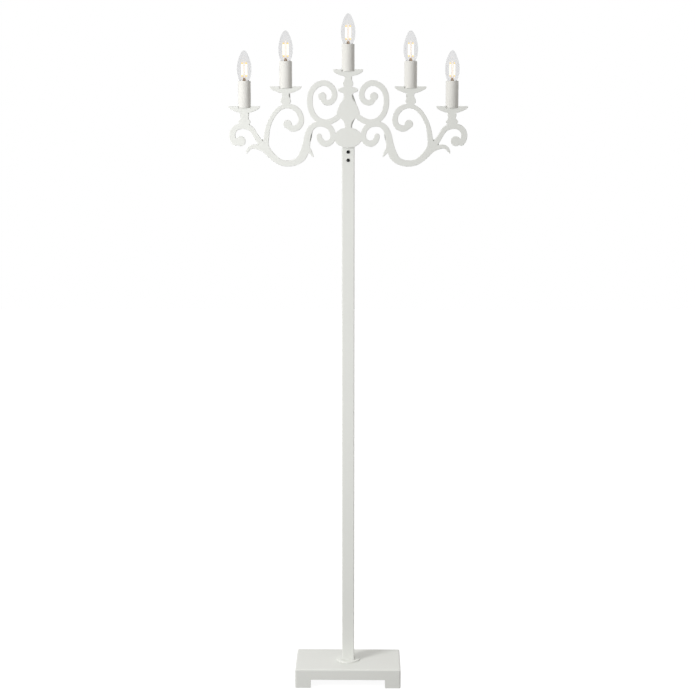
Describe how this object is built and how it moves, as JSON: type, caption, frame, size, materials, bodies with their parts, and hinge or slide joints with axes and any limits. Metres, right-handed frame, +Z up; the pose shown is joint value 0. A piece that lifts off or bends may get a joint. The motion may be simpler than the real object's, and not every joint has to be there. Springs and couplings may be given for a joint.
{
  "type": "candelabra floor lamp",
  "caption": "Floor lamp with a flat scrolled candelabra head of candle lights on a slim square post and a heavy footed plate base.",
  "frame": {"origin": "on the floor under the middle of the base", "axes": "+Z up along the post, the scrolled head spans X, its front faces -Y"},
  "size_m": [0.5654, 0.145, 1.6354],
  "materials": {
    "white_paint": "satin off-white powder coat",
    "candle_white": "smooth white candle sleeve",
    "bulb_glass": "clear blown glass",
    "filament": "lit warm filament sticks on a glass stem",
    "cap_metal": "bright screw cap",
    "solder": "dull solder",
    "black_screw": "black oxide",
    "plated_steel": "zinc plate",
    "ballast_iron": "dark primer on cast iron",
    "pad_rubber": "moulded rubber",
    "bush_plastic": "white nylon",
    "terminal_plastic": "natural nylon",
    "holder_plastic": "black phenolic",
    "lead_insulation": "white insulation"
  },
  "bodies": {
    "lamp": {"base_shell": "white_paint", "base_feet": "white_paint", "ballast_plate": "ballast_iron", "ballast_nuts": "plated_steel", "foot_pads": "pad_rubber", "cord_bush": "bush_plastic", "post_collar": "white_paint", "post": "white_paint", "post_foot_insert": "plated_steel", "post_bolt": "plated_steel", "post_bolt_washer": "plated_steel", "head_tongue": "white_paint", "head_screws": "black_screw", "scroll_plate": "white_paint", "wire_box": "white_paint", "rear_cover": "white_paint", "cover_screws": "plated_steel", "terminal_block": "terminal_plastic", "terminal_screw": "plated_steel", "centre_lead": "lead_insulation", "wire_channel_left": "white_paint", "wire_channel_right": "white_paint", "leads_left": "lead_insulation", "leads_right": "lead_insulation", "candle_seat_outer_left": "white_paint", "lampholder_outer_left": "holder_plastic", "candle_sleeve_outer_left": "candle_white", "candle_seat_inner_left": "white_paint", "lampholder_inner_left": "holder_plastic", "candle_sleeve_inner_left": "candle_white", "candle_seat_centre": "white_paint", "lampholder_centre": "holder_plastic", "candle_sleeve_centre": "candle_white", "candle_seat_inner_right": "white_paint", "lampholder_inner_right": "holder_plastic", "candle_sleeve_inner_right": "candle_white", "candle_seat_outer_right": "white_paint", "lampholder_outer_right": "holder_plastic", "candle_sleeve_outer_right": "candle_white"},
    "bulb_tip_outer_left": {"bulb_contact_outer_left": "solder"},
    "bulb_outer_left": {"bulb_cap_outer_left": "cap_metal", "bulb_glass_outer_left": "bulb_glass", "bulb_filaments_outer_left": "filament"},
    "bulb_tip_inner_left": {"bulb_contact_inner_left": "solder"},
    "bulb_inner_left": {"bulb_cap_inner_left": "cap_metal", "bulb_glass_inner_left": "bulb_glass", "bulb_filaments_inner_left": "filament"},
    "bulb_tip_centre": {"bulb_contact_centre": "solder"},
    "bulb_centre": {"bulb_cap_centre": "cap_metal", "bulb_glass_centre": "bulb_glass", "bulb_filaments_centre": "filament"},
    "bulb_tip_inner_right": {"bulb_contact_inner_right": "solder"},
    "bulb_inner_right": {"bulb_cap_inner_right": "cap_metal", "bulb_glass_inner_right": "bulb_glass", "bulb_filaments_inner_right": "filament"},
    "bulb_tip_outer_right": {"bulb_contact_outer_right": "solder"},
    "bulb_outer_right": {"bulb_cap_outer_right": "cap_metal", "bulb_glass_outer_right": "bulb_glass", "bulb_filaments_outer_right": "filament"}
  },
  "joints": [
    {"name": "bulb_travel_outer_left", "type": "slide", "parent": "lamp", "child": "bulb_tip_outer_left", "axis": [0, 0, 1], "range_m": [0, 0.0085]},
    {"name": "bulb_turn_outer_left", "type": "hinge", "parent": "bulb_tip_outer_left", "child": "bulb_outer_left", "pos_m": [-0.24506, -0.01, 1.5], "axis": [0, 0, 1], "range_deg": [0, 1080]},
    {"name": "bulb_travel_inner_left", "type": "slide", "parent": "lamp", "child": "bulb_tip_inner_left", "axis": [0, 0, 1], "range_m": [0, 0.0085]},
    {"name": "bulb_turn_inner_left", "type": "hinge", "parent": "bulb_tip_inner_left", "child": "bulb_inner_left", "pos_m": [-0.1472, -0.01, 1.5], "axis": [0, 0, 1], "range_deg": [0, 1080]},
    {"name": "bulb_travel_centre", "type": "slide", "parent": "lamp", "child": "bulb_tip_centre", "axis": [0, 0, 1], "range_m": [0, 0.0085]},
    {"name": "bulb_turn_centre", "type": "hinge", "parent": "bulb_tip_centre", "child": "bulb_centre", "pos_m": [0, -0.01, 1.5], "axis": [0, 0, 1], "range_deg": [0, 1080]},
    {"name": "bulb_travel_inner_right", "type": "slide", "parent": "lamp", "child": "bulb_tip_inner_right", "axis": [0, 0, 1], "range_m": [0, 0.0085]},
    {"name": "bulb_turn_inner_right", "type": "hinge", "parent": "bulb_tip_inner_right", "child": "bulb_inner_right", "pos_m": [0.1472, -0.01, 1.5], "axis": [0, 0, 1], "range_deg": [0, 1080]},
    {"name": "bulb_travel_outer_right", "type": "slide", "parent": "lamp", "child": "bulb_tip_outer_right", "axis": [0, 0, 1], "range_m": [0, 0.0085]},
    {"name": "bulb_turn_outer_right", "type": "hinge", "parent": "bulb_tip_outer_right", "child": "bulb_outer_right", "pos_m": [0.24506, -0.01, 1.5], "axis": [0, 0, 1], "range_deg": [0, 1080]}
  ],
  "couplings": [
    {"joint": "bulb_travel_outer_left", "follows": "bulb_turn_outer_left", "m_per_rad": 0.00044882},
    {"joint": "bulb_travel_inner_left", "follows": "bulb_turn_inner_left", "m_per_rad": 0.00044882},
    {"joint": "bulb_travel_centre", "follows": "bulb_turn_centre", "m_per_rad": 0.00044882},
    {"joint": "bulb_travel_inner_right", "follows": "bulb_turn_inner_right", "m_per_rad": 0.00044882},
    {"joint": "bulb_travel_outer_right", "follows": "bulb_turn_outer_right", "m_per_rad": 0.00044882}
  ]
}
